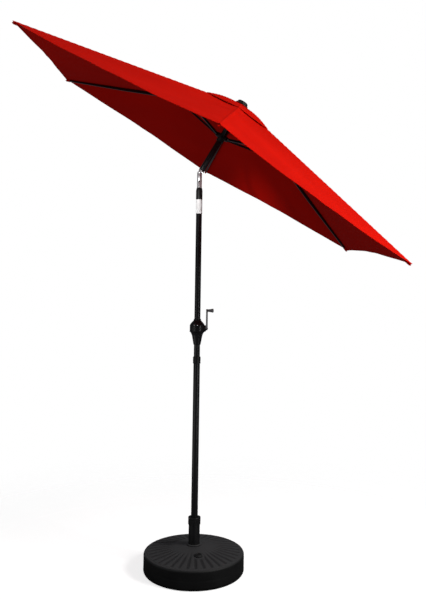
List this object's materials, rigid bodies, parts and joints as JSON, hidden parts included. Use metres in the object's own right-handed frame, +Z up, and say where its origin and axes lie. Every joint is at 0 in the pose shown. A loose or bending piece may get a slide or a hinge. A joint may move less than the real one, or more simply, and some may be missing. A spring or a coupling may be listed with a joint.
{
  "type": "patio umbrella",
  "caption": "Tilting crank-lift patio umbrella with a ribbed hexagonal cloth canopy, vent cap, two-piece mast and a round weighted base.",
  "frame": {"origin": "centre of the base's underside, on the ground", "axes": "+Z up along the straight mast; the canopy tilts towards +X about a pin along Y; the crank shaft points along +X"},
  "size_m": [1.901, 2.222, 2.5588],
  "materials": {
    "cloth": "matte",
    "pole_paint": "satin",
    "rib_paint": "satin",
    "base_plastic": "matte",
    "plug_plastic": "matte",
    "neck_plastic": "satin",
    "fitting_plastic": "satin",
    "hub_plastic": "satin",
    "housing_plastic": "gloss",
    "sand": "matte",
    "knuckle_chrome": "polished",
    "screw_chrome": "polished",
    "bare_steel": "satin",
    "crank_metal": "satin",
    "knob_plastic": "satin",
    "label": "matte",
    "cord_fibre": "matte"
  },
  "bodies": {
    "base": {"base_shell": "base_plastic", "ballast_fill": "sand", "neck_tube": "neck_plastic", "neck_foot_ring": "base_plastic", "neck_bush": "fitting_plastic"},
    "fill_plug": {"fill_plug": "plug_plastic"},
    "neck_cap": {"neck_cap": "neck_plastic"},
    "lower_mast": {"lower_pole": "pole_paint", "pole_foot_cap": "fitting_plastic", "pole_collar": "fitting_plastic"},
    "upper_mast": {"upper_pole": "pole_paint", "label_band": "label", "tilt_sleeve": "fitting_plastic", "lower_knuckle": "knuckle_chrome", "tilt_pin": "bare_steel", "button_spring": "bare_steel", "housing_front": "housing_plastic", "housing_back": "housing_plastic", "housing_screw_1": "screw_chrome", "housing_screw_2": "screw_chrome", "lift_cord_lower": "cord_fibre"},
    "tilt_button": {"tilt_button": "fitting_plastic"},
    "crank": {"crank_spool": "crank_metal", "crank_arm": "crank_metal"},
    "crank_knob": {"crank_knob": "knob_plastic"},
    "tilt_head": {"upper_knuckle": "knuckle_chrome", "upper_tube": "pole_paint", "top_hub": "hub_plastic", "hub_wire": "bare_steel", "finial": "hub_plastic", "pulley_pin": "bare_steel", "lift_cord_upper": "cord_fibre", "vent_cap": "cloth"},
    "pulley": {"cord_pulley": "fitting_plastic"},
    "runner": {"runner": "hub_plastic", "runner_wire": "bare_steel"},
    "rib_1": {"rib_1": "rib_paint", "canopy_1_left": "cloth", "canopy_1_right": "cloth"},
    "rib_2": {"rib_2": "rib_paint", "canopy_2_left": "cloth", "canopy_2_right": "cloth"},
    "rib_3": {"rib_3": "rib_paint", "canopy_3_left": "cloth", "canopy_3_right": "cloth"},
    "rib_4": {"rib_4": "rib_paint", "canopy_4_left": "cloth", "canopy_4_right": "cloth"},
    "rib_5": {"rib_5": "rib_paint", "canopy_5_left": "cloth", "canopy_5_right": "cloth"},
    "rib_6": {"rib_6": "rib_paint", "canopy_6_left": "cloth", "canopy_6_right": "cloth"},
    "strut_1": {"strut_1": "rib_paint"},
    "strut_2": {"strut_2": "rib_paint"},
    "strut_3": {"strut_3": "rib_paint"},
    "strut_4": {"strut_4": "rib_paint"},
    "strut_5": {"strut_5": "rib_paint"},
    "strut_6": {"strut_6": "rib_paint"}
  },
  "joints": [
    {"name": "mast_swivel", "type": "hinge", "parent": "base", "child": "lower_mast", "pos_m": [0, 0, 0.2], "axis": [0, 0, 1], "continuous": true},
    {"name": "mast_pull_apart", "type": "slide", "parent": "lower_mast", "child": "upper_mast", "axis": [0, 0, 1], "range_m": [0, 0.108]},
    {"name": "neck_cap_turn", "type": "hinge", "parent": "base", "child": "neck_cap", "pos_m": [0, 0, 0.22], "axis": [0, 0, 1], "range_deg": [0, 540]},
    {"name": "fill_plug_lift", "type": "slide", "parent": "base", "child": "fill_plug", "axis": [0, 0, 1], "range_m": [0, 0.03]},
    {"name": "canopy_tilt", "type": "hinge", "parent": "upper_mast", "child": "tilt_head", "pos_m": [0, 0, 1.892], "axis": [0, 1, 0], "range_deg": [-31.2, 0]},
    {"name": "tilt_button_press", "type": "slide", "parent": "upper_mast", "child": "tilt_button", "axis": [0, 1, 0], "range_m": [0, 0.003], "stiffness_N_per_m": 500, "deforming": ["button_spring"]},
    {"name": "canopy_fold", "type": "hinge", "parent": "tilt_head", "child": "rib_1", "pos_m": [0.22848, -0.00699, 2.21893], "axis": [-0.2214, -0.9659, 0.1341], "range_deg": [-61, 0], "deforming": ["canopy_1_left", "canopy_1_right", "vent_cap"]},
    {"name": "rib_2_hinge", "type": "hinge", "parent": "tilt_head", "child": "rib_2", "pos_m": [0.22251, 0.01909, 2.22255], "axis": [0.6048, -0.7071, -0.3663], "range_deg": [-61, 0], "deforming": ["canopy_2_left", "canopy_2_right"]},
    {"name": "rib_3_hinge", "type": "hinge", "parent": "tilt_head", "child": "rib_3", "pos_m": [0.2002, 0.02608, 2.23605], "axis": [0.8262, 0.2588, -0.5004], "range_deg": [-61, 0], "deforming": ["canopy_3_left", "canopy_3_right"]},
    {"name": "rib_4_hinge", "type": "hinge", "parent": "tilt_head", "child": "rib_4", "pos_m": [0.18387, 0.00699, 2.24594], "axis": [0.2214, 0.9659, -0.1341], "range_deg": [-61, 0], "deforming": ["canopy_4_left", "canopy_4_right"]},
    {"name": "rib_5_hinge", "type": "hinge", "parent": "tilt_head", "child": "rib_5", "pos_m": [0.18984, -0.01909, 2.24233], "axis": [-0.6048, 0.7071, 0.3663], "range_deg": [-61, 0], "deforming": ["canopy_5_left", "canopy_5_right"]},
    {"name": "rib_6_hinge", "type": "hinge", "parent": "tilt_head", "child": "rib_6", "pos_m": [0.21215, -0.02608, 2.22881], "axis": [-0.8262, -0.2588, 0.5004], "range_deg": [-61, 0], "deforming": ["canopy_6_left", "canopy_6_right"]},
    {"name": "runner_slide", "type": "slide", "parent": "tilt_head", "child": "runner", "axis": [0.518, 0, 0.8554], "range_m": [-0.155, 0], "deforming": ["lift_cord_upper"]},
    {"name": "strut_1_hinge", "type": "hinge", "parent": "runner", "child": "strut_1", "pos_m": [0.13731, -0.00699, 2.06838], "axis": [-0.2214, -0.9659, 0.1341], "range_deg": [-78.58, 0]},
    {"name": "strut_2_hinge", "type": "hinge", "parent": "runner", "child": "strut_2", "pos_m": [0.13133, 0.01909, 2.072], "axis": [0.6048, -0.7071, -0.3663], "range_deg": [-78.58, 0]},
    {"name": "strut_3_hinge", "type": "hinge", "parent": "runner", "child": "strut_3", "pos_m": [0.10902, 0.02608, 2.08551], "axis": [0.8262, 0.2588, -0.5004], "range_deg": [-78.58, 0]},
    {"name": "strut_4_hinge", "type": "hinge", "parent": "runner", "child": "strut_4", "pos_m": [0.09269, 0.00699, 2.0954], "axis": [0.2214, 0.9659, -0.1341], "range_deg": [-78.58, 0]},
    {"name": "strut_5_hinge", "type": "hinge", "parent": "runner", "child": "strut_5", "pos_m": [0.09867, -0.01909, 2.09178], "axis": [-0.6048, 0.7071, 0.3663], "range_deg": [-78.58, 0]},
    {"name": "strut_6_hinge", "type": "hinge", "parent": "runner", "child": "strut_6", "pos_m": [0.12098, -0.02608, 2.07827], "axis": [-0.8262, -0.2588, 0.5004], "range_deg": [-78.58, 0]},
    {"name": "crank_turn", "type": "hinge", "parent": "upper_mast", "child": "crank", "pos_m": [0, 0, 1.112], "axis": [1, 0, 0], "range_deg": [-954.93, 0]},
    {"name": "knob_spin", "type": "hinge", "parent": "crank", "child": "crank_knob", "pos_m": [0.066, 0, 1.199], "axis": [1, 0, 0], "continuous": true},
    {"name": "pulley_spin", "type": "hinge", "parent": "tilt_head", "child": "pulley", "pos_m": [0.19374, 0, 2.21191], "axis": [-0.2214, 0.9659, 0.1341], "range_deg": [0, 879.29]}
  ],
  "couplings": [
    {"joint": "rib_2_hinge", "follows": "canopy_fold", "ratio": 1},
    {"joint": "rib_3_hinge", "follows": "canopy_fold", "ratio": 1},
    {"joint": "rib_4_hinge", "follows": "canopy_fold", "ratio": 1},
    {"joint": "rib_5_hinge", "follows": "canopy_fold", "ratio": 1},
    {"joint": "rib_6_hinge", "follows": "canopy_fold", "ratio": 1},
    {"joint": "runner_slide", "follows": "canopy_fold", "m_per_rad": 0.14559},
    {"joint": "strut_1_hinge", "follows": "canopy_fold", "ratio": 1.2881},
    {"joint": "strut_2_hinge", "follows": "canopy_fold", "ratio": 1.2881},
    {"joint": "strut_3_hinge", "follows": "canopy_fold", "ratio": 1.2881},
    {"joint": "strut_4_hinge", "follows": "canopy_fold", "ratio": 1.2881},
    {"joint": "strut_5_hinge", "follows": "canopy_fold", "ratio": 1.2881},
    {"joint": "strut_6_hinge", "follows": "canopy_fold", "ratio": 1.2881},
    {"joint": "crank_turn", "follows": "canopy_fold", "ratio": 15.655},
    {"joint": "pulley_spin", "follows": "canopy_fold", "ratio": -14.415}
  ]
}
